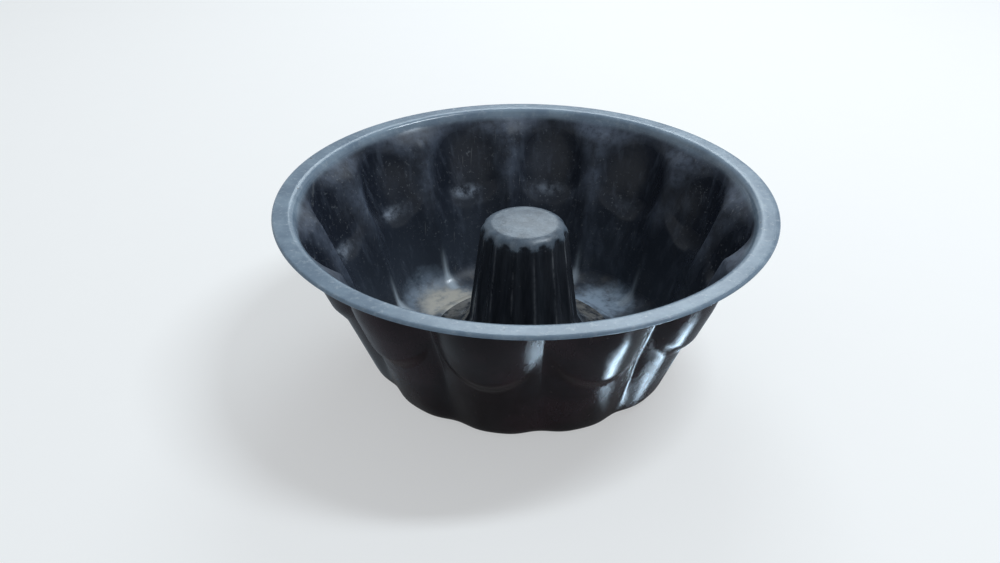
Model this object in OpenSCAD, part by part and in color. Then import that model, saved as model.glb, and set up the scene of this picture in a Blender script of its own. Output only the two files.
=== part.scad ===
// Fluted ring cake mould of pressed steel, in millimetres.
// The origin is the centre of the resting face, with +Z up and the first lobe's crest near -Y.

/* [Body] */
// Outer diameter over the rolled edge of the rim
rim_d = 240; // [225:1:260]
// Height from the resting face to the top of the rim
height = 88; // [80:1:96]
// Diameter of the wall's crests, carried down to the resting plane
base_d = 153; // [146:1:160]
// Thickness of the steel sheet
sheet_t = 0.5; // [0.4:0.05:0.6]

/* [Rim] */
// Width of the flange, from the end of its bend to the outside of the rolled edge
flange_w = 7; // [6:0.5:10]
// Inside radius of the bend between the wall and the flange
rim_bend_r = 3; // [1.5:0.25:4]
// Outer diameter of the rolled edge
curl_d = 2.2; // [2:0.1:3]
// Clearance between the rolled edge and the wire inside it
wire_gap = 0.15; // [0.1:0.05:0.3]

/* [Lobes] */
// Number of lobes round the wall
lobes = 12; // [10:2:14]
// Depth of the ribs between the lobes, at the resting face
rib_foot = 2.5; // [1:0.25:5]
// Depth of the ribs halfway up the wall
rib_mid = 7; // [4:0.25:9]
// Depth of the ribs below the rim
rib_top = 7.5; // [6:0.25:10]
// Height over which the ribs fade out below the rim
rib_fade = 10; // [8:0.5:14]
// Turn of the lobes about the axis
lobe_turn = -9; // [-15:1:15]

/* [Petals] */
// How far the petal of each lobe stands out from the lobe
petal_out = 3; // [2:0.25:5]
// Height of the lowest point of a petal
petal_z = 37; // [30:1:44]
// Height of the widest line of a petal
petal_mid_z = 59; // [54:1:62]
// Width of a petal, as a share of its lobe
petal_share = 0.9; // [0.74:0.02:0.94]
// Height of the ledge at the foot of a petal, as a share of the height above it
ledge_share = 0.26; // [0.16:0.02:0.4]
// Height between the top of a petal and the bend of the rim
petal_gap = 2; // [1:0.5:5]

/* [Floor] */
// Outside radius of the corner between the wall and the floor
corner_r = 10.5; // [9:0.5:14]
// Inner diameter of the ring that the mould rests on
ring_in_d = 114; // [108:1:120]
// Height of the seat for the tube above the resting face
seat_z = 2.6; // [2:0.1:4]

/* [Tube] */
// Height of the cap above the resting face
tube_h = 74; // [66:1:80]
// Diameter of the tube below its shoulder
tube_top_d = 43.6; // [40:0.2:48]
// Diameter of the tube where the flare of its foot starts
tube_foot_d = 56; // [52:0.5:60]
// Radius of the shoulder round the cap
shoulder_r = 7; // [5:0.5:9]
// Height of the crown over the middle of the cap
crown_h = 0.8; // [0.3:0.1:1.5]
// Radius of the flare of the foot
flare_r = 19; // [16:0.5:21]
// Number of flutes round the tube
flutes = 14; // [10:1:18]
// Depth of a flute
flute_depth = 1.3; // [0.6:0.1:2]
// Width of a flute, as a share of its pitch
flute_share = 0.66; // [0.5:0.02:0.8]

/* [Seam] */
// Diameter of the hole in the pan's floor
hole_d = 88; // [84:0.5:92]
// Width of the bead and of the hem, from the edge of the hole
seam_w = 4; // [3:0.25:5]
// Clearance between the tube and the edge of the hole
hole_gap = 0.3; // [0.2:0.05:0.5]
// Gap inside the folded bead
fold_gap = 0.3; // [0.2:0.05:0.5]

/* [Hidden] */

// Bend between the wall and the flange
bend_c = [rim_d / 2 - flange_w, height - sheet_t - rim_bend_r];
draft = atan((bend_c[0] - rim_bend_r - base_d / 2) / height);
wall_top = bend_c + rim_bend_r * [-cos(draft), sin(draft)];
fade_z = wall_top[1] - rib_fade;

// Corner between the wall and the floor
corner_turn = 90 - draft;
corner_run = corner_r * tan(corner_turn / 2);
corner_z = corner_r * (1 - cos(corner_turn));
corner_steps = 3;

// The ring under the floor is drawn this much too deep and cut level, so the resting face is one plane
level_cut = 0.02;

// Rolled edge: it ends short of a full turn
curl_c = [rim_d / 2 - curl_d / 2, height - curl_d / 2];
curl_turn = 250;
curl_steps = 5;
wire_r = curl_d / 2 - sheet_t - wire_gap;

// Seam between the tube and the floor, on a seat that is a little wider than the bead
seat_top = seat_z + sheet_t;
seam_r = hole_d / 2 + seam_w;
seat_r = seam_r + 2;
neck_r = hole_d / 2 - hole_gap;
bead_h = 2 * sheet_t + fold_gap;

// Flare of the tube's foot: its arc runs from this slope to level, and meets the side at foot_z
flare_slope = 28;
flare_c = [seam_r, seat_top + bead_h + flare_r];
flare_start = flare_c - flare_r * [cos(flare_slope), sin(flare_slope)];
foot_z = flare_start[1] + (flare_start[0] - tube_foot_d / 2) / tan(flare_slope);

// Shoulder of the tube, and the lean of its side
cap_z = tube_h - crown_h;
side_h = cap_z - shoulder_r - foot_z;
lean = atan((tube_foot_d - tube_top_d) / 2 / side_h);
shoulder_c = [tube_top_d / 2 - shoulder_r * cos(lean), cap_z - shoulder_r];

// Columns of points across a petal and across a flute, from -1 to 1, closest together at the sides
PETAL_COLS = [-1, -0.82, -0.57, -0.23, 0.23, 0.57, 0.82, 1];
FLUTE_COLS = [-1, -0.4, 0.4, 1];

// Rows of the wall, as shares of the height that each group covers
LOWER_ROWS = [0.35, 0.75];
LEDGE_ROWS = [0, 0.25, 0.65, 1];
UPPER_ROWS = [0.35, 0.7, 1];
NECK_ROWS = [0.45, 1];

// Rows of the tube: share of the cap's radius or angle of the arc, then share of crown or flute
CROWN_ROW = [0.55, 0.75];
SHOULDER_ROWS = [[5, 0], [35, 0], [62, 0.45], [90 - lean, 1]];
FLARE_ROWS = [[flare_slope, 1], [50, 0.7], [70, 0.2], [90, 0]];

function smooth(x) = let (c = max(0, min(1, x))) c * c * (3 - 2 * c);

// How much the ribs have faded out, from 0 at the foot of the neck to 1 at the bend
function faded(z) = smooth((z - fade_z) / rib_fade);

function rib_depth(z) =
    lookup(z, [[corner_z, rib_foot], [height / 2, rib_mid], [fade_z, rib_top]]) * (1 - faded(z));

// Section of a lobe, 0 at its crest and 1 at the ribs: it has round ribs at the foot, and is an arch further up
function lobe_drop(t, z) =
    let (arch = smooth((z - corner_z) / (petal_z - corner_z)))
    arch * (1 - cos(90 * t)) + (1 - arch) * pow(sin(90 * t), 4);

function crest_r(z) = base_d / 2 + (wall_top[0] - base_d / 2) * z / wall_top[1];

// Height of a petal's lower edge: half an ellipse, level beyond the petal's sides
function petal_edge(t) =
    petal_mid_z - (petal_mid_z - petal_z) * sqrt(max(0, 1 - pow(t / petal_share, 2)));

// Height of the ledge that carries a petal: it is lower towards the petal's sides
function ledge_h(t) = ledge_share * (fade_z - petal_edge(t));

// A petal swells above its ledge, and runs out softly at its sides
function petal_bulge(t, z) =
    let (
        up = max(0, z - petal_mid_z) / (wall_top[1] - petal_gap - petal_mid_z),
        ledge = smooth((z - petal_edge(t)) / ledge_h(t))
    )
    petal_out * max(0, 1 - pow(t / petal_share, 2) - up * up) * ledge;

// Outer side of the wall above the corner
function wall_r(t, z) = crest_r(z) - rib_depth(z) * lobe_drop(t, z) + petal_bulge(t, z);

// Points along an arc, at clockwise angles from straight up
function arc(c, r, angles) = [for (a = angles) c + r * [sin(a), cos(a)]];

// Underside and outside of the pan at one place across a lobe, from the hole to the end of the roll
function pan_path(t) =
    let (
        foot = base_d / 2 - rib_foot * lobe_drop(t, 0) - corner_run,
        edge = petal_edge(t),
        ledge_top = edge + ledge_h(t),
        low = [for (k = LOWER_ROWS) corner_z + (edge - corner_z) * k],
        ledge = [for (k = LEDGE_ROWS) edge + ledge_h(t) * k],
        up = [for (k = UPPER_ROWS) ledge_top + (fade_z - ledge_top) * k],
        neck = [for (k = NECK_ROWS) fade_z + rib_fade * k]
    )
    concat(
        [[hole_d / 2, seat_z], [seat_r, seat_z], [ring_in_d / 2, -level_cut], [foot, -level_cut]],
        arc([foot, corner_r], corner_r, [for (k = [1:corner_steps]) 180 - corner_turn * k / corner_steps]),
        [for (z = concat(low, ledge, up, neck)) [wall_r(t, z), z]],
        arc(bend_c, rim_bend_r, [(draft - 90) / 2, 0]),
        arc(curl_c, curl_d / 2 - sheet_t, [for (k = [0:curl_steps]) curl_turn * k / curl_steps])
    );

// Outside of the tube at one place across a flute, from the cap to the end of the hem
function tube_path(t) =
    let (depth = flute_depth * max(0, 1 - pow(t / flute_share, 2)))
    concat(
        [[shoulder_c[0] * CROWN_ROW[0], cap_z + crown_h * CROWN_ROW[1]]],
        [for (s = SHOULDER_ROWS) shoulder_c + shoulder_r * [sin(s[0]), cos(s[0])] - [depth * s[1], 0]],
        [for (k = [0.5, 1]) [
            (tube_top_d + (tube_foot_d - tube_top_d) * k) / 2 - depth, shoulder_c[1] - side_h * k]],
        [for (s = FLARE_ROWS) flare_c - flare_r * [cos(s[0]), sin(s[0])] - [depth * s[1], 0]],
        [[seam_r + bead_h / 2, seat_top + bead_h / 2], [seam_r, seat_top], [neck_r, seat_top],
            [neck_r, seat_z], [seam_r, seat_z]]
    );

// The point of a path moved sideways by t, to the left of its way if t is positive
function unit(v) = v / norm(v);
function left(v) = [-v[1], v[0]];
function beside(path, i, t) =
    let (
        n = len(path),
        into = left(unit(path[max(i, 1)] - path[max(i, 1) - 1])),
        out = left(unit(path[min(i + 1, n - 1)] - path[min(i, n - 2)])),
        both = into + out
    )
    path[i] + both * (2 * t / (both * both));

// Both sides of the sheet as one closed loop: along the path, and back along its other side
function sheet_loop(path, t) = concat(path, [for (i = [len(path) - 1:-1:0]) beside(path, i, t)]);

function turned(p, a) = [p[0] * sin(a), -p[0] * cos(a), p[1]];

// Triangles between ring i and ring j of n points
function band(i, j, n) = [for (k = [0:n - 1]) let (m = (k + 1) % n)
    each [[i * n + k, i * n + m, j * n + k], [i * n + m, j * n + m, j * n + k]]];

module pan_shell() {
    cols = concat([-1], petal_share * PETAL_COLS);
    angles = [for (l = [0:lobes - 1], t = cols) [lobe_turn + (l + t / 2) * 360 / lobes, t]];
    n = len(angles);
    loops = [for (a = angles) sheet_loop(pan_path(a[1]), sheet_t)];
    rows = len(loops[0]);
    points = [for (i = [0:rows - 1], k = [0:n - 1]) turned(loops[k][i], angles[k][0])];
    faces = [for (i = [0:rows - 1]) each band((i + 1) % rows, i, n)];
    color("#23262c") difference() {
        polyhedron(points, faces, convexity = 10);
        mirror([0, 0, 1]) cylinder(d = rim_d, h = corner_r);
    }
}

module centre_tube() {
    cols = flute_share * FLUTE_COLS;
    angles = [for (f = [0:flutes - 1], t = cols) [(f + t / 2) * 360 / flutes, t]];
    n = len(angles);
    loops = [for (a = angles) sheet_loop(tube_path(a[1]), -sheet_t)];
    rows = len(loops[0]);
    rings = [for (i = [0:rows - 1], k = [0:n - 1]) turned(loops[k][i], angles[k][0])];
    top = len(rings);
    points = concat(rings, [[0, 0, tube_h], [0, 0, tube_h - sheet_t]]);
    sides = [for (i = [0:rows - 2]) each band(i, i + 1, n)];
    caps = [for (k = [0:n - 1]) let (m = (k + 1) % n, last = (rows - 1) * n)
        each [[top, m, k], [top + 1, last + k, last + m]]];
    color("#1a1c20") polyhedron(points, concat(sides, caps), convexity = 10);
}

module rim_wire() {
    color("silver") translate([0, 0, curl_c[1]])
        rotate_extrude($fn = 96) translate([curl_c[0], 0]) circle(r = wire_r, $fn = 24);
}

pan_shell();
centre_tube();
rim_wire();
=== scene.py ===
"""Looks of a fluted ring cake mould: coated sheet, drawn finer than the solids, on a pale floor."""
import math

import bpy
import numpy as np
from mathutils import Euler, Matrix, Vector


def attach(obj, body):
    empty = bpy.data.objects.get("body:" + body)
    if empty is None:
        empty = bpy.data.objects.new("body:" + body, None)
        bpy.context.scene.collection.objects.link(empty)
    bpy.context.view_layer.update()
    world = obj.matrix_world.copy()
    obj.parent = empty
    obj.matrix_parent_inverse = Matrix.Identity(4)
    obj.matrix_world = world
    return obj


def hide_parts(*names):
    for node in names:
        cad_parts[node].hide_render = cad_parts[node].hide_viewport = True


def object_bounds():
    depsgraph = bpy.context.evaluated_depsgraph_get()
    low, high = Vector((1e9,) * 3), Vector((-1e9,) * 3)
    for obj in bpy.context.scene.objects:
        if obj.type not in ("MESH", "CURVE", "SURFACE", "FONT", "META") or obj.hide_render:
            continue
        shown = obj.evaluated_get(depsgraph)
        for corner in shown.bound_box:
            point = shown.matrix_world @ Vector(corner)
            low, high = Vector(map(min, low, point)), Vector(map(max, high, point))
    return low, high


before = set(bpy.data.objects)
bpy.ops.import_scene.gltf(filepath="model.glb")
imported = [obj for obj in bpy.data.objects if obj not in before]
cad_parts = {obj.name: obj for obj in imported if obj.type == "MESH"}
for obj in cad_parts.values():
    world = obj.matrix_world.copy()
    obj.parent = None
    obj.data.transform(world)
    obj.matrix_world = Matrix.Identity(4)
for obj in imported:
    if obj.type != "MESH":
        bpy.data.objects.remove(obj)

CAD_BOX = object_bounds()
MM = 0.001

# Sizes of the pan, as in the solids
RIM_R = CAD_BOX[1].x
HEIGHT = CAD_BOX[1].z
BASE_R = 76.5 * MM
SHEET = 0.5 * MM
FLANGE = 7 * MM
RIM_BEND = 3 * MM
CURL_R = 1.1 * MM
CURL_TURN = 250
LOBES = 12
LOBE_TURN = -9
RIB_FOOT, RIB_MID, RIB_TOP = 2.5 * MM, 7 * MM, 7.5 * MM
RIB_FADE = 10 * MM
PETAL_OUT = 3 * MM
PETAL_Z, PETAL_MID_Z = 37 * MM, 59 * MM
PETAL_SHARE = 0.9
PETAL_GAP = 2 * MM
LEDGE_SHARE = 0.26
CORNER_R = 10.5 * MM
RING_IN_R = 57 * MM
SEAT_Z = 2.6 * MM
SEAT_MARGIN = 2 * MM
HOLE_R = 44 * MM
SEAM = 4 * MM

# Sizes of the tube, as in the solids
TUBE_H = 74 * MM
TUBE_TOP_R, TUBE_FOOT_R = 21.8 * MM, 28 * MM
SHOULDER = 7 * MM
CROWN = 0.8 * MM
FLARE_R = 19 * MM
FLARE_SLOPE = 28
FLUTES = 14
FLUTE_DEPTH = 1.3 * MM
FLUTE_SHARE = 0.66
FLUTE_END_TURN = 38
FLUTE_RISE_TURN, FLUTE_FALL_TURN = 40, 44
HOLE_GAP = 0.3 * MM
FOLD_GAP = 0.3 * MM

# Columns of points for one lobe and one flute
LOBE_COLS = 32
FLUTE_COLS = 20

# Rows of points along the pan's path: their places as shares of a stretch, or their number in it
SEAT_ROWS, RING_ROWS, FLANGE_ROWS = (0, 0.02, 0.5, 1), (0.3, 0.6, 0.85, 1), (0.25, 0.5, 0.75)
SLOPE_ROWS, CORNER_ROWS, LOW_ROWS, LEDGE_ROWS, UPPER_ROWS, NECK_ROWS = 8, 14, 15, 14, 22, 14
BEND_ROWS, CURL_ROWS = 8, 20

# Rows of points along the tube's path, and where its cap and its shoulder start
CAP_ROWS, SHOULDER_ROWS, SIDE_ROWS, FLARE_ROWS, BEAD_ROWS = 12, 14, 20, 14, 8
CAP_START, SHOULDER_START_TURN = 0.02, 6

# Edges that turn by more than this stay sharp
SHARP_TURN = 50


def smooth(x):
    x = np.clip(x, 0, 1)
    return x * x * (3 - 2 * x)


def shares(count):
    """Evenly spaced shares of a stretch, with its end and without its start."""
    return np.linspace(0, 1, count + 1)[1:]


def arc(centre, radius, angles):
    """Points [r, z] at clockwise angles from straight up, in degrees."""
    a = np.radians(angles)
    return np.stack([centre[0] + radius * np.sin(a), centre[1] + radius * np.cos(a)], -1)


# The pan's wall: a cone with ribs, lobes between them and a petal in each lobe.
# The place t across a lobe goes from -1 at one rib to 1 at the next.
BEND_C = np.array([RIM_R - FLANGE, HEIGHT - SHEET - RIM_BEND])
DRAFT = math.atan((BEND_C[0] - RIM_BEND - BASE_R) / HEIGHT)
WALL_TOP = BEND_C + RIM_BEND * np.array([-math.cos(DRAFT), math.sin(DRAFT)])
CORNER_TURN = math.pi / 2 - DRAFT
CORNER_RUN = CORNER_R * math.tan(CORNER_TURN / 2)
CORNER_Z = CORNER_R * (1 - math.cos(CORNER_TURN))
FADE_Z = WALL_TOP[1] - RIB_FADE
CURL_C = np.array([RIM_R - CURL_R, HEIGHT - CURL_R])


def rib_depth(z):
    """Depth of the ribs below the lobes' crests, fading out in the neck."""
    depth = np.interp(z, [CORNER_Z, HEIGHT / 2, FADE_Z], [RIB_FOOT, RIB_MID, RIB_TOP])
    return depth * (1 - smooth((z - FADE_Z) / RIB_FADE))


def lobe_drop(t, z):
    """Share of the ribs' depth at place t: flat lobes at the foot, round ones at the petals."""
    up = smooth((z - CORNER_Z) / (PETAL_Z - CORNER_Z))
    return up * (1 - np.cos(np.pi / 2 * t)) + (1 - up) * np.sin(np.pi / 2 * t) ** 4


def petal_edge(t):
    """Height of a petal's lower edge."""
    rise = np.sqrt(np.maximum(0, 1 - (t / PETAL_SHARE) ** 2))
    return PETAL_MID_Z - (PETAL_MID_Z - PETAL_Z) * rise


def ledge_h(t):
    """Height of the ledge above a petal's lower edge."""
    return LEDGE_SHARE * (FADE_Z - petal_edge(t))


def petal_shape(t, z):
    """1 along the middle of a petal, falling softly to 0 at its sides and its top."""
    up = np.maximum(0, z - PETAL_MID_Z) / (WALL_TOP[1] - PETAL_GAP - PETAL_MID_Z)
    return np.maximum(0, 1 - (t / PETAL_SHARE) ** 2 - up**2)


def petal_bulge(t, z):
    return PETAL_OUT * petal_shape(t, z) * smooth((z - petal_edge(t)) / ledge_h(t))


def wall_r(t, z):
    crest = BASE_R + (WALL_TOP[0] - BASE_R) * z / WALL_TOP[1]
    return crest - rib_depth(z) * lobe_drop(t, z) + petal_bulge(t, z)


def pan_path(t):
    """Underside and outside of the pan at place t, from the hole to the end of the roll."""
    foot = BASE_R - RIB_FOOT * lobe_drop(t, 0) - CORNER_RUN
    edge = petal_edge(t)
    ledge_top = edge + ledge_h(t)
    seat_r = HOLE_R + SEAM + SEAT_MARGIN
    seat = [(HOLE_R + (seat_r - HOLE_R) * k, SEAT_Z) for k in SEAT_ROWS]
    slope = [
        (seat_r + (RING_IN_R - seat_r) * k, SEAT_Z * (1 - smooth(k))) for k in shares(SLOPE_ROWS)
    ]
    ring = [(RING_IN_R + (foot - RING_IN_R) * k, 0) for k in RING_ROWS]
    turn = 180 - np.degrees(CORNER_TURN) * shares(CORNER_ROWS)
    corner = arc((foot, CORNER_R), CORNER_R, turn)
    low = CORNER_Z + (edge - CORNER_Z) * shares(LOW_ROWS)
    ledge = edge + ledge_h(t) * shares(LEDGE_ROWS)
    upper = ledge_top + (FADE_Z - ledge_top) * shares(UPPER_ROWS)
    neck = FADE_Z + RIB_FADE * shares(NECK_ROWS)
    wall = [(wall_r(t, z), z) for z in np.concatenate([low, ledge, upper, neck])]
    bend = arc(BEND_C, RIM_BEND, np.degrees(-CORNER_TURN) * (1 - shares(BEND_ROWS)))
    flange = [BEND_C + (CURL_C - BEND_C) * (k, 0) + (0, RIM_BEND) for k in FLANGE_ROWS]
    curl = arc(CURL_C, CURL_R - SHEET, CURL_TURN * np.linspace(0, 1, CURL_ROWS + 1))
    return np.vstack([seat, slope, ring, corner, wall, bend, flange, curl])


# Where the pan's coating is worn, and where highlights, shade and reflections are painted: each
# mark is 0 to 1 along the path at place t.
# The widths W, the tips' fade and the feet's spread are on t's scale, and TIP_UP is a share of
# the ledge's height.
PALE_FADE = 4 * MM
HAZE, HAZE_EDGE, HAZE_FROM, HAZE_RISE = 0.8, 0.5, 30 * MM, 30 * MM
TIP_UP, TIP_HALF_H, TIP_HALF_W, TIP_FADE = 0.8, 5 * MM, 0.5, 0.44
FOOT_HALF_W, FOOT_SPREAD, FOOT_SPREAD_H = 0.1, 0.15, 8 * MM
FOOT_FROM, FOOT_FADE, FOOT_IN = 3 * MM, 20 * MM, 1 * MM


def pan_rim_wear_and_reflection(t, path):
    """Where the coating is pale, partly worn and partly a painted reflection: the flange and the
    roll, fading out down the neck.
    """
    neck = smooth((path[:, 1] - WALL_TOP[1] + PALE_FADE) / PALE_FADE)
    return np.maximum(neck, path[:, 0] > BEND_C[0])


def pan_haze(t, path):
    """Where the coating is rubbed dull: round the petals, and more so higher up."""
    z = path[:, 1]
    round_petal = 1 - smooth(petal_shape(t, z) / HAZE_EDGE)
    return HAZE * (round_petal * smooth((z - HAZE_FROM) / HAZE_RISE)) * (z > CORNER_Z / 2)


def pan_ledge_light_and_shade(t, path):
    """The ledges at the petals' tips, where highlights and shade are painted."""
    off = abs(path[:, 1] - petal_edge(t) - TIP_UP * ledge_h(t)) / TIP_HALF_H
    return smooth((TIP_HALF_W - abs(t)) / TIP_FADE) * smooth(1 - off)


def pan_foot_highlight(t, path):
    """Where highlights are painted on the ribs' feet, which are smooth: they spread towards the
    floor.
    """
    z = path[:, 1]
    width = FOOT_HALF_W + FOOT_SPREAD * smooth(1 - z / FOOT_SPREAD_H)
    low = smooth(1 - (z - FOOT_FROM) / FOOT_FADE)
    low = low * (path[:, 0] > BASE_R - RIB_FOOT - CORNER_RUN - FOOT_IN)
    return low * smooth((abs(t) - 1 + width) / width)


# The tube: a cap, a fluted side, a flare and the folded seam that holds the pan's floor.
# The place t across a flute goes from -1 at one crest to 1 at the next.
SEAT_TOP = SEAT_Z + SHEET
SEAM_R = HOLE_R + SEAM
NECK_R = HOLE_R - HOLE_GAP
BEAD_H = 2 * SHEET + FOLD_GAP
SLOPE = math.radians(FLARE_SLOPE)
FLARE_C = np.array([SEAM_R, SEAT_TOP + BEAD_H + FLARE_R])
FLARE_START = FLARE_C - FLARE_R * np.array([math.cos(SLOPE), math.sin(SLOPE)])
FOOT_Z = FLARE_START[1] + (FLARE_START[0] - TUBE_FOOT_R) / math.tan(SLOPE)
CAP_Z = TUBE_H - CROWN
SIDE_H = CAP_Z - SHOULDER - FOOT_Z
LEAN = math.atan((TUBE_FOOT_R - TUBE_TOP_R) / SIDE_H)
SHOULDER_C = np.array([TUBE_TOP_R - SHOULDER * math.cos(LEAN), CAP_Z - SHOULDER])

# A crest starts at this place across a flute, and is full after this much more
CREST_FROM, CREST_FADE = 0.86, 0.12


def tube_path(t):
    """Outside of the tube at place t, from the cap to the end of the hem."""
    depth = FLUTE_DEPTH * max(0, 1 - (t / FLUTE_SHARE) ** 2)
    cap = [
        (SHOULDER_C[0] * k, CAP_Z + CROWN * (1 - k * k))
        for k in np.linspace(CAP_START, 1, CAP_ROWS)
    ]
    turn = np.linspace(SHOULDER_START_TURN, 90 - math.degrees(LEAN), SHOULDER_ROWS)
    inward = depth * smooth((turn - FLUTE_END_TURN) / FLUTE_RISE_TURN)
    shoulder = arc(SHOULDER_C, SHOULDER, turn) - np.outer(inward, (1, 0))
    down = shares(SIDE_ROWS)
    side_r = TUBE_TOP_R + (TUBE_FOOT_R - TUBE_TOP_R) * down - depth
    side = np.stack([side_r, SHOULDER_C[1] - SIDE_H * down], -1)
    turn = np.linspace(FLARE_SLOPE, 90, FLARE_ROWS)
    inward = depth * (1 - smooth((turn - FLUTE_END_TURN) / FLUTE_FALL_TURN))
    flare = arc(FLARE_C, -FLARE_R, 90 - turn) - np.outer(inward, (1, 0))
    bead = arc((SEAM_R, SEAT_TOP + BEAD_H / 2), BEAD_H / 2, 180 * shares(BEAD_ROWS))
    hem = [(NECK_R, SEAT_TOP), (NECK_R, SEAT_Z), (SEAM_R, SEAT_Z)]
    return np.vstack([cap, shoulder, side, flare, bead, hem])


def tube_ridge(t, path):
    """The crests between the flutes."""
    return smooth((abs(t) - CREST_FROM) / CREST_FADE) * np.ones(len(path))


def beside(path, shift):
    """The path moved sideways in its own plane, to the left of its way if shift is positive."""
    way = np.diff(path, axis=0)
    left = np.stack([-way[:, 1], way[:, 0]], -1) / np.linalg.norm(way, axis=1)[:, None]
    both = np.vstack([left[:1], left[:-1] + left[1:], left[-1:]])
    both[0], both[-1] = 2 * left[0], 2 * left[-1]
    return path + both * (2 * shift / (both**2).sum(1))[:, None]


def turned_sheet(name, path, shift, parts, cols, marks, start=0.0, closed=True):
    """A sheet with one path for each column round the axis, its other side shifted by a thickness.

    A closed sheet has a hole in its middle. Otherwise both sides end in a small face at the axis.
    Each mark is a function of a column's place and path, and is stored for the material to read."""
    places = np.linspace(-1, 1, cols, endpoint=False)
    sides = [path(t) for t in places]
    loops = [np.vstack([side, beside(side, shift)[::-1]]) for side in sides]
    loops = np.tile(loops, (parts, 1, 1))
    turns = np.repeat(np.arange(parts), cols) + np.tile(places, parts) / 2
    angles = np.radians(start + turns * 360 / parts)
    n, rows = loops.shape[:2]
    r, z = loops[:, :, 0].T, loops[:, :, 1].T
    points = np.stack([r * np.sin(angles), -r * np.cos(angles), z], -1).reshape(-1, 3)
    i, k = np.meshgrid(np.arange(rows if closed else rows - 1), np.arange(n), indexing="ij")
    j, m = (i + 1) % rows, (k + 1) % n
    faces = np.stack([i * n + k, j * n + k, j * n + m, i * n + m], -1).reshape(-1, 4).tolist()
    if not closed:
        faces += [list(range(n)), list(range(rows * n - 1, (rows - 1) * n - 1, -1))]
    mesh = bpy.data.meshes.new(name)
    mesh.from_pydata(points.tolist(), [], faces)
    for key, mark in marks.items():
        values = [mark(t, side) for t, side in zip(places, sides)]
        values = np.array([np.append(value, value[::-1]) for value in values])
        layer = mesh.attributes.new(key, "FLOAT", "POINT")
        layer.data.foreach_set("value", np.tile(values, (parts, 1)).T.ravel())
    other_side = (i >= rows // 2).ravel().astype(int).tolist()
    ends = [0] * (len(faces) - len(other_side))
    mesh.polygons.foreach_set("material_index", other_side + ends)
    if shift < 0:
        mesh.flip_normals()
    mesh.polygons.foreach_set("use_smooth", [True] * len(mesh.polygons))
    mesh.set_sharp_from_angle(angle=math.radians(SHARP_TURN))
    piece = bpy.data.objects.new(name, mesh)
    bpy.context.collection.objects.link(piece)
    return piece


# A spot's edge: the noise that makes it uneven as scale, detail and roughness, the size of that
# noise, and how far outside and inside the radius the fade starts and ends
SPOT_EDGE, SPOT_NOISE = (90, 5, 0.7), 14 * MM
SPOT_OUT, SPOT_IN = 7 * MM, 3 * MM


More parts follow.
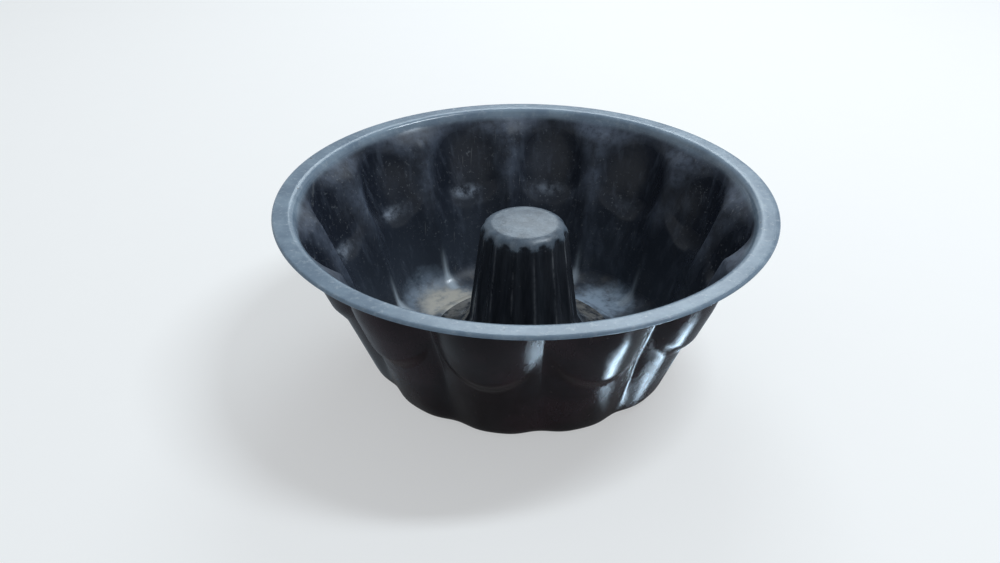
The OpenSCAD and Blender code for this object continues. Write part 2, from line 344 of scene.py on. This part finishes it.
class Look:
    """A node material with short calls for what these surfaces need."""

    def __init__(self, name, **fixed):
        self.material = bpy.data.materials.new(name)
        self.material.use_nodes = True
        tree = self.material.node_tree
        self.nodes, self.links = tree.nodes, tree.links
        self.shader = self.nodes["Principled BSDF"]
        for key, value in fixed.items():
            self.shader.inputs[key.replace("_", " ")].default_value = value
        self.place = self.node("ShaderNodeTexCoord").outputs["Object"]

    def node(self, kind, settings=None, **inputs):
        """A new node; its inputs are given by name, or by number as i0, i1 and so on."""
        made = self.nodes.new(kind)
        for key, value in (settings or {}).items():
            setattr(made, key, value)
        for key, value in inputs.items():
            self.plug(made.inputs[int(key[1:]) if key[1:].isdigit() else key], value)
        return made

    def plug(self, socket, value):
        if isinstance(value, bpy.types.NodeSocket):
            self.links.new(value, socket)
        else:
            socket.default_value = value

    def math(self, operation, a, b=0.0):
        return self.node("ShaderNodeMath", {"operation": operation}, i0=a, i1=b).outputs[0]

    def times(self, *factors):
        product = factors[0]
        for factor in factors[1:]:
            product = self.math("MULTIPLY", product, factor)
        return product

    def either(self, a, b):
        return self.math("MAXIMUM", a, b)

    def along(self, axis, vector=None):
        """One coordinate of a vector, or else of the place on the object."""
        split = self.node("ShaderNodeSeparateXYZ", Vector=vector or self.place)
        return split.outputs[axis]

    def distance(self, centre):
        measure = {"operation": "DISTANCE"}
        made = self.node("ShaderNodeVectorMath", measure, i0=self.place, i1=centre)
        return made.outputs["Value"]

    def step(self, value, low, high):
        """0 below low, 1 above high, and soft in between; turned round if low is above high."""
        made = self.node("ShaderNodeMapRange", {"interpolation_type": "SMOOTHSTEP"}, Value=value)
        made.inputs["From Min"].default_value = min(low, high)
        made.inputs["From Max"].default_value = max(low, high)
        return made.outputs[0] if low < high else self.math("SUBTRACT", 1.0, made.outputs[0])

    def noise(self, scale, detail=4.0, roughness=0.55, place=None):
        place = place or self.place
        made = self.node("ShaderNodeTexNoise", Vector=place, Scale=scale, Detail=detail)
        made.inputs["Roughness"].default_value = roughness
        return made.outputs[0]

    def streaks(self, scales, detail, roughness, turn=(0, 0, 0)):
        """Noise with a scale of its own along each axis, turned by angles in degrees."""
        made = self.node("ShaderNodeMapping", Vector=self.place)
        made.inputs["Scale"].default_value = scales
        made.inputs["Rotation"].default_value = [math.radians(a) for a in turn]
        return self.noise(1, detail, roughness, made.outputs[0])

    def patches(self, scale, low, high, detail=4.0, roughness=0.55):
        """Patches with soft edges, where noise of that scale rises from low to high."""
        return self.step(self.noise(scale, detail, roughness), low, high)

    def ragged(self, value, size, *noise):
        """The value with noise added to it, from 0 to that size."""
        return self.math("ADD", value, self.times(self.noise(*noise), size))

    def specks(self, scale, size, share):
        """Round specks of at most that size in cells, in that share of the cells."""
        cells = self.node("ShaderNodeTexVoronoi", Vector=self.place, Scale=scale)
        red = self.node("ShaderNodeSeparateColor", Color=cells.outputs["Color"]).outputs[0]
        size = self.times(red, size / share)
        dot = self.math("LESS_THAN", cells.outputs["Distance"], size)
        return self.times(dot, self.math("LESS_THAN", red, share))

    def spot(self, centre, radius):
        """1 at the centre, fading out unevenly to the radius."""
        out = self.ragged(self.distance(centre), SPOT_NOISE, *SPOT_EDGE)
        return self.step(out, radius + SPOT_OUT, radius - SPOT_IN)

    def blend(self, amount, a, b):
        """From one colour to another."""
        made = self.node("ShaderNodeMix", {"data_type": "RGBA"}, i0=amount)
        for socket, value in ((made.inputs[6], a), (made.inputs[7], b)):
            self.plug(socket, (*value, 1) if isinstance(value, tuple) else value)
        return made.outputs[2]

    def layered(self, colour, *layers):
        """The colour with layers of (mask, share, colour) on it, the last one on top."""
        for mask, share, over in layers:
            colour = self.blend(self.times(mask, share), colour, over)
        return colour

    def mix(self, amount, a, b):
        """From one number to another."""
        return self.node("ShaderNodeMix", i0=amount, i2=a, i3=b).outputs[0]

    def named(self, name):
        """A mark that turned_sheet stored."""
        return self.node("ShaderNodeAttribute", {"attribute_name": name}).outputs["Fac"]

    def finish(self, colour, roughness, relief, height):
        self.plug(self.shader.inputs["Base Color"], colour)
        self.plug(self.shader.inputs["Roughness"], roughness)
        bump = self.node("ShaderNodeBump", Height=relief, Strength=1.0, Distance=height)
        self.plug(self.shader.inputs["Normal"], bump.outputs[0])
        return self.material


# Colours of the coating, of what is on it, and of the painted highlights, shade and reflections; a
# pair is for the two kinds of patches in it
OUTSIDE = (0.009, 0.0046, 0.0058), (0.03, 0.0145, 0.0175)
OUTSIDE_SPECK = (0.12, 0.1, 0.09)
INSIDE = (0.014, 0.018, 0.028), (0.034, 0.042, 0.06)
INSIDE_LOW = (0.052, 0.064, 0.085)
RUN = (0.105, 0.125, 0.165)
RUBBED = (0.13, 0.16, 0.22)
PAINTED_LEDGE_SHADE = (0.009, 0.012, 0.019)
TIP_HIGHLIGHT = (0.32, 0.37, 0.45)
FIBRE = (0.2, 0.21, 0.22)
DUST = (0.23, 0.25, 0.275)
CRUMB = (0.16, 0.15, 0.14)
FILM_AND_REFLECTION = (0.35, 0.44, 0.55)
STAIN_AND_REFLECTION = (0.58, 0.55, 0.49)
FOOT_HIGHLIGHT = (0.46, 0.53, 0.6)
RIM_WEAR_AND_REFLECTION = (0.16, 0.215, 0.278), (0.232, 0.3, 0.368)
RIM_GRAIN = (0.36, 0.41, 0.46)
RIM_CHIP = (0.07, 0.05, 0.04)
TUBE_SIDE = (0.024, 0.028, 0.035), (0.05, 0.056, 0.068)
CREST = (0.27, 0.28, 0.3)
TUBE_DUST = (0.22, 0.22, 0.24)
SPILL = (0.3, 0.29, 0.27)
CAP_DUST_AND_REFLECTION = (0.05, 0.072, 0.1), (0.125, 0.165, 0.21)
CAP_GRAIN = (0.24, 0.27, 0.3)
STEEL = (0.5, 0.5, 0.51), (0.3, 0.26, 0.22)

# Relief of the coating, and the noises that its surfaces share, as scale, detail and roughness
OUTSIDE_RELIEF, INSIDE_RELIEF = 0.12 * MM, 0.3 * MM
TUBE_RELIEF, WIRE_RELIEF = 0.16 * MM, 0.02 * MM
FINE = (320, 6, 0.72)
WAVES = (70, 2, 0.4)

# Spots on the pan's floor, as centre and radius, and the share of film in the faint one; the film
# and the stain are partly painted reflections
STAIN_AND_REFLECTION_SPOT = (-41 * MM, 38 * MM, 1 * MM), 20.5 * MM
FILM_AND_REFLECTION_SPOT = (43 * MM, 41 * MM, 1 * MM), 21 * MM
FAINT_FILM_AND_REFLECTION_SPOT = (-46 * MM, 41 * MM, 1 * MM), 25 * MM
FAINT_FILM_AND_REFLECTION = 0.55

# Fades across the pan, of painted highlights, painted shade and dust: X where each is 0 and where
# it is full, or the distance from X 0 for dust
TIP_HIGHLIGHT_X, PAINTED_LEDGE_SHADE_X, FOOT_HIGHLIGHT_X = (90 * MM, -60 * MM), (-10 * MM, 50 * MM), (60 * MM, -30 * MM)
DUST_X = 72 * MM, 98 * MM

# Fades over the height: Z where each is 0 and where it is full
GREY_Z, CRUMBS_Z, SPILL_Z = (62 * MM, 12 * MM), (9 * MM, 2 * MM), (11 * MM, 5 * MM)
ROLL_Z = HEIGHT - 0.4 * MM, HEIGHT - 1.2 * MM
CAP_DUST_AND_REFLECTION_Z = 74.5 * MM, 80 * MM


def pan_outside():
    """Dark satin coating, drawn out in streaks of more and less gloss."""
    look = Look("pan_outside", Specular_IOR_Level=0.22)
    streak = look.streaks((160, 160, 14), 4, 0.6)
    drawn = look.streaks((620, 620, 16), 3, 0.65)
    patch = look.patches(22, 0.4, 0.7, 5, 0.6)
    colour = look.blend(patch, *OUTSIDE)
    colour = look.layered(colour, (look.specks(330, 0.16, 0.2), 0.3, OUTSIDE_SPECK))
    glossy, dull = look.mix(drawn, 0.12, 0.24), look.mix(patch, 0.24, 0.36)
    rough = look.mix(look.step(streak, 0.35, 0.7), glossy, dull)
    relief = look.mix(0.4, drawn, look.noise(900, 3, 0.6))
    relief = look.mix(0.25, look.noise(*WAVES), relief)
    return look.finish(colour, rough, relief, OUTSIDE_RELIEF)


def pan_inside():
    """Blue-black coating with its wear and dust, painted highlights, shade and reflections, and the
    flange, pale from wear and a painted reflection.
    """
    look = Look("pan_inside", Specular_IOR_Level=0.35)
    rim, haze, ledge, foot = map(look.named, ("rim", "haze", "ledge", "foot"))
    across, high = look.along("X"), look.along("Z")
    fine = look.noise(*FINE)
    cloud = look.patches(26, 0.42, 0.75, 6, 0.62)
    runs = look.step(look.streaks((180, 180, 14), 4, 0.6), 0.48, 0.75)
    rubbed = look.times(haze, look.patches(55, 0.3, 0.68, 6, 0.62), look.step(fine, 0.2, 0.6))
    # Painted shade: the ledges darker towards the right, where they catch the light
    painted_ledge_shade = look.times(ledge, look.step(across, *PAINTED_LEDGE_SHADE_X))
    # Painted highlights on the ledges at the petals' tips, fading out towards the right
    tip_highlights = look.times(look.patches(48, 0.36, 0.56, 6, 0.68), look.patches(150, 0.34, 0.58, 6, 0.7))
    tip_highlights = look.times(tip_highlights, ledge, look.step(fine, 0.2, 0.55), look.step(across, *TIP_HIGHLIGHT_X))
    fibres = look.step(look.streaks((900, 110, 60), 2, 0.5, (20, 35, 10)), 0.66, 0.72)
    fibres = look.times(fibres, look.patches(34, 0.52, 0.62, 2))
    dusty = look.step(look.math("ABSOLUTE", across), *DUST_X)
    dusty = look.either(look.patches(18, 0.42, 0.6, 3), dusty)
    dust = look.either(look.specks(430, 0.16, 0.08), look.patches(520, 0.6, 0.67, 3, 0.75))
    dust = look.times(dust, dusty)
    low = look.step(high, *CRUMBS_Z)
    crumbs = look.times(low, look.patches(110, 0.48, 0.7, 6, 0.7))
    # A pale blue film on the floor's right and a fainter one on its left: painted reflections of
    # the light
    film_and_reflection = look.either(look.spot(*FILM_AND_REFLECTION_SPOT), look.times(look.spot(*FAINT_FILM_AND_REFLECTION_SPOT), FAINT_FILM_AND_REFLECTION))
    film_and_reflection = look.times(film_and_reflection, look.patches(130, 0.2, 0.6, 6, 0.7))
    # A cream stain on the floor's left, partly residue and partly a painted reflection of the light
    stain = look.times(look.spot(*STAIN_AND_REFLECTION_SPOT), look.patches(160, 0.2, 0.55, 6, 0.7))
    # Painted highlights at the ribs' feet, stronger towards the left
    pale = look.mix(look.step(across, *FOOT_HIGHLIGHT_X), 0.5, 1.0)

    chips = look.times(look.specks(260, 0.2, 0.14), look.patches(45, 0.45, 0.6, 3))
    # The flange's pale colour: partly worn coating, partly a painted reflection of the light
    flange = look.layered(
        look.blend(look.patches(60, 0.35, 0.7, 5, 0.65), *RIM_WEAR_AND_REFLECTION),
        (look.step(fine, 0.5, 0.65), 0.35, RIM_GRAIN),
        (chips, 0.7, RIM_CHIP),
    )
    colour = look.layered(
        look.blend(cloud, *INSIDE),
        (look.step(high, *GREY_Z), 0.6, INSIDE_LOW),
        (runs, 0.42, RUN),
        (rubbed, 0.8, RUBBED),
        (painted_ledge_shade, 0.5, PAINTED_LEDGE_SHADE),
        (tip_highlights, 0.9, TIP_HIGHLIGHT),
        (fibres, 0.3, FIBRE),
        (dust, 0.38, DUST),
        (crumbs, 0.5, CRUMB),
        (film_and_reflection, 0.85, FILM_AND_REFLECTION),
        (stain, 1.0, STAIN_AND_REFLECTION),
        (foot, pale, FOOT_HIGHLIGHT),
        (rim, 1.0, flange),
    )

    rough = look.mix(cloud, 0.22, 0.32)
    for mask, value in (
        (haze, 0.6),
        (look.either(stain, look.times(low, 0.8)), 0.6),
        (painted_ledge_shade, 0.7),
        (foot, 0.2),
        (rim, look.mix(look.step(high, *ROLL_Z), look.mix(fine, 0.16, 0.34), 0.13)),
    ):
        rough = look.mix(mask, rough, value)
    return look.finish(colour, rough, look.mix(0.15, look.noise(*WAVES), fine), INSIDE_RELIEF)


def tube_coating():
    """Glossy dark coating, worn along the crests, with a dull film on the cap that is partly dust
    and partly a painted sky reflection.
    """
    look = Look("tube_coating", Specular_IOR_Level=0.5)
    facing = look.along("Z", look.node("ShaderNodeNewGeometry").outputs["Normal"])
    high = look.along("Z")
    fine = look.noise(*FINE)
    streak = look.streaks((420, 420, 9), 4, 0.6)
    broken = look.patches(40, 0.4, 0.6)
    worn = look.mix(0.6, look.patches(210, 0.4, 0.58, 5, 0.7), look.step(streak, 0.4, 0.6))
    worn = look.times(worn, look.mix(broken, 0.4, 1.0), look.named("ridge"))
    dust = look.times(look.specks(420, 0.2, 0.3), broken)
    spill = look.times(look.step(high, *SPILL_Z), look.patches(110, 0.36, 0.6, 6, 0.7))
    spill = look.times(spill, look.step(facing, 0.0, 0.3))
    # Painted sky reflection, with dust: a pale film on the cap where it faces up
    up = look.ragged(look.ragged(high, 10 * MM, 160, 6, 0.75), 12 * MM, 700, 3, 0.75)
    level = look.ragged(facing, 0.6, 560, 3, 0.75)
    top = look.times(look.step(up, *CAP_DUST_AND_REFLECTION_Z), look.step(level, 0.4, 0.75))
    film_and_reflection = look.layered(
        look.blend(look.patches(90, 0.36, 0.64, 6, 0.7), *CAP_DUST_AND_REFLECTION),
        (look.step(fine, 0.5, 0.65), 0.4, CAP_GRAIN),
    )
    colour = look.layered(
        look.blend(look.step(streak, 0.3, 0.8), *TUBE_SIDE),
        (worn, 0.95, CREST),
        (dust, 0.35, TUBE_DUST),
        (spill, 0.6, SPILL),
        (top, 0.9, film_and_reflection),
    )
    rough = look.mix(top, look.mix(streak, 0.08, 0.26), look.mix(fine, 0.2, 0.55))
    return look.finish(colour, rough, look.mix(0.25, streak, fine), TUBE_RELIEF)


def wire_steel():
    look = Look("wire_steel", Metallic=1.0)
    stain = look.patches(300, 0.45, 0.7, 4, 0.6)
    rough = look.mix(stain, 0.3, 0.55)
    return look.finish(look.blend(stain, *STEEL), rough, look.noise(1500, 2), WIRE_RELIEF)


# The world's colour, its strength at the horizon and high up, and the direction's Z from which
# it is that of high up
WORLD_COLOUR = (0.89, 0.95, 1.0)
HORIZON, ZENITH = 0.8, 0.26
ZENITH_UP = 0.6

# The floor: its colours, its size, and how far out it starts and ends fading into the horizon
FLOOR = (0.95, 0.94, 0.92), (0.97, 0.96, 0.94)
FLOOR_ROUGH, FLOOR_RELIEF = 0.6, 0.01 * MM
FLOOR_HALF = 6
FLOOR_FADE = 0.9, 3.0

# The white that is added to it for the camera and for glossy and transmission rays
WHITE = (0.97, 0.985, 1.0)
CAMERA_WHITE, MIRROR_WHITE = 0.45, 0.1

# The polish that all rays but the camera's meet, its share, tint and roughness
POLISH, POLISH_TINT, POLISH_ROUGH = 0.9, (0.72, 0.87, 1, 1), 0.1


def pale_floor():
    """Pale and plain to the camera, and a polished table to other rays, for the dark coating."""
    look = Look("pale_floor", Specular_IOR_Level=0.2)
    colour = look.blend(look.noise(40, 3), *FLOOR)
    look.finish(colour, FLOOR_ROUGH, look.noise(600, 2), FLOOR_RELIEF)
    ray = look.node("ShaderNodeLightPath").outputs
    seen = ray["Is Camera Ray"]
    mirrored = look.either(ray["Is Glossy Ray"], ray["Is Transmission Ray"])
    matt = look.shader.outputs[0]
    polish = look.node("ShaderNodeBsdfAnisotropic", Color=POLISH_TINT, Roughness=POLISH_ROUGH)
    unseen = look.times(look.math("SUBTRACT", 1.0, seen), POLISH)
    lit = look.node("ShaderNodeMixShader", i0=unseen, i1=matt, i2=polish.outputs[0])
    far = look.step(look.distance((0, 0, 0)), *FLOOR_FADE)
    share = look.either(look.times(seen, CAMERA_WHITE), look.times(mirrored, MIRROR_WHITE))
    share = look.either(share, look.times(seen, far))
    glow = look.blend(far, WHITE, tuple(HORIZON * c for c in WORLD_COLOUR))
    white = look.node("ShaderNodeEmission", Color=glow, Strength=1.0)
    both = look.node("ShaderNodeMixShader", i0=share, i1=lit.outputs[0], i2=white.outputs[0])
    look.plug(look.nodes["Material Output"].inputs["Surface"], both.outputs[0])
    return look.material


def pale_sky():
    """A plain world, brightest at the horizon."""
    sky = bpy.data.worlds.new("world")
    sky.use_nodes = True
    nodes, links = sky.node_tree.nodes, sky.node_tree.links
    up = nodes.new("ShaderNodeSeparateXYZ")
    links.new(nodes.new("ShaderNodeTexCoord").outputs["Generated"], up.inputs[0])
    fade = nodes.new("ShaderNodeMapRange")
    ends = {"From Min": 0, "From Max": ZENITH_UP, "To Min": HORIZON, "To Max": ZENITH}
    for key, value in ends.items():
        fade.inputs[key].default_value = value
    links.new(up.outputs["Z"], fade.inputs["Value"])
    links.new(fade.outputs[0], nodes["Background"].inputs["Strength"])
    nodes["Background"].inputs["Color"].default_value = (*WORLD_COLOUR, 1)
    return sky


def softbox(name, place, size, power, colour):
    """A rectangular lamp that faces the middle of the mould."""
    lamp = bpy.data.lights.new(name, "AREA")
    lamp.shape = "RECTANGLE"
    lamp.size, lamp.size_y = size
    lamp.energy, lamp.color = power, colour
    made = bpy.data.objects.new(name, lamp)
    made.location = place
    way = Vector((0, 0, HEIGHT / 2)) - made.location
    made.rotation_euler = way.to_track_quat("-Z", "Y").to_euler()
    bpy.context.collection.objects.link(made)


# The camera, fitted to the rim, the lobes and the base in the photograph: its distance from the
# rim's centre in rim radii, its elevation there, and its angles
SENSOR, LENS = 36, 35.02
CAMERA_RADII, CAMERA_ELEVATION = 3.926, 26.443
CAMERA_ANGLES = 58.447, 0.033, 1.604

camera = bpy.data.objects.new("camera", bpy.data.cameras.new("camera"))
camera.data.sensor_width = SENSOR
camera.data.lens = LENS
distance, elevation = CAMERA_RADII * RIM_R, math.radians(CAMERA_ELEVATION)
back, up = distance * math.cos(elevation), distance * math.sin(elevation)
camera.location = (0, -back, HEIGHT + up)
camera.rotation_euler = Euler([math.radians(a) for a in CAMERA_ANGLES])
bpy.context.collection.objects.link(camera)
bpy.context.scene.camera = camera

# The pieces: a pan and a tube of their own, and the solids' wire
PAN_MARKS = {"rim": pan_rim_wear_and_reflection, "haze": pan_haze, "ledge": pan_ledge_light_and_shade, "foot": pan_foot_highlight}
TUBE_MARKS = {"ridge": tube_ridge}
pan = turned_sheet("pan_sheet", pan_path, SHEET, LOBES, LOBE_COLS, PAN_MARKS, LOBE_TURN)
pan.data.materials.append(pan_outside())
pan.data.materials.append(pan_inside())
tube = turned_sheet("tube_sheet", tube_path, -SHEET, FLUTES, FLUTE_COLS, TUBE_MARKS, closed=False)
tube.data.materials.append(tube_coating())
for piece, node in ((pan, "pan_shell"), (tube, "centre_tube")):
    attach(piece, "root")
    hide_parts(node)
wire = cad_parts["rim_wire"]
for place in wire.material_slots:
    place.material = wire_steel()

# The floor
corners = [(FLOOR_HALF * x, FLOOR_HALF * y, 0) for x, y in ((-1, -1), (1, -1), (1, 1), (-1, 1))]
floor_mesh = bpy.data.meshes.new("floor")
floor_mesh.from_pydata(corners, [], [(0, 1, 2, 3)])
floor = bpy.data.objects.new("floor", floor_mesh)
bpy.context.collection.objects.link(floor)
floor_mesh.materials.append(pale_floor())

# The light: a strip for long highlights on the right flank, a soft light from behind, the world
softbox("lamp", place=(0.72, 0.05, 1.42), size=(0.16, 0.6), power=12.6, colour=(0.84, 0.93, 1))
softbox("window", place=(0.12, 1, 0.87), size=(0.6, 0.6), power=6, colour=(0.82, 0.93, 1))
bpy.context.scene.world = pale_sky()
bpy.context.scene.view_settings.view_transform = "Standard"
